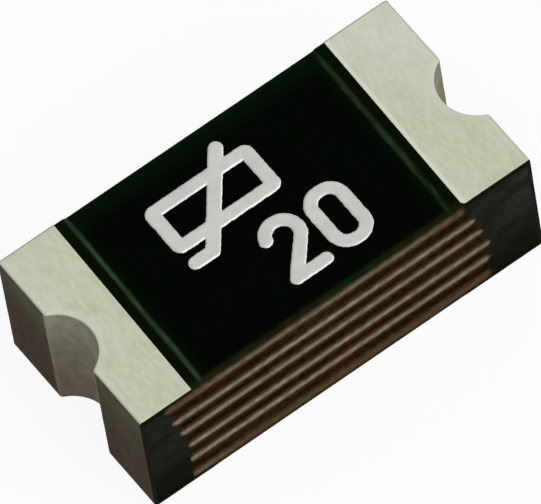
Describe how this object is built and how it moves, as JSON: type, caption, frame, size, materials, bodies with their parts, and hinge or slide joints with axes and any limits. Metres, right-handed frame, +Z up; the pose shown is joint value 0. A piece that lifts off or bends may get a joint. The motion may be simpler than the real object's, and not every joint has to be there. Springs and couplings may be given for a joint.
{
  "type": "resettable fuse",
  "caption": "Surface-mount chip fuse that resets itself: conductive polymer sheets laminated between foils, with tin wraps notched at both ends and a dark solder mask.",
  "frame": {"origin": "centre of the underside, in the plane of the two bottom pads", "axes": "+X along the chip from the left terminal to the right one, +Y across the chip, +Z up through the laminate to the marked face"},
  "size_m": [0.0032, 0.0016, 0.0011],
  "materials": {
    "tin": "matt tin, pale warm grey with fine streaks on the pads, dark brown-grey on the end faces",
    "copper": "plated copper under the tin, seen only as a thin dark edge on the sawn sides",
    "solder_mask": "near-black green, smooth, with a low step beside each pad",
    "bond_resin": "dark glass-filled resin, sawn",
    "ptc_polymer": "dark brown filled polymer, sawn",
    "electrode_foil": "nickel-faced copper foil, sawn edge, dull brown-grey",
    "marking_ink": "white printed ink, slightly raised"
  },
  "bodies": {
    "root": {"left_tin_finish": "tin", "right_tin_finish": "tin", "left_copper_wrap": "copper", "right_copper_wrap": "copper", "top_solder_mask": "solder_mask", "bottom_solder_mask": "solder_mask", "top_cover_sheet": "bond_resin", "upper_bond_sheet": "bond_resin", "lower_bond_sheet": "bond_resin", "bottom_cover_sheet": "bond_resin", "upper_ptc_sheet": "ptc_polymer", "middle_ptc_sheet": "ptc_polymer", "lower_ptc_sheet": "ptc_polymer", "upper_ptc_top_foil": "electrode_foil", "upper_ptc_bottom_foil": "electrode_foil", "middle_ptc_top_foil": "electrode_foil", "middle_ptc_bottom_foil": "electrode_foil", "lower_ptc_top_foil": "electrode_foil", "lower_ptc_bottom_foil": "electrode_foil"}
  },
  "joints": []
}
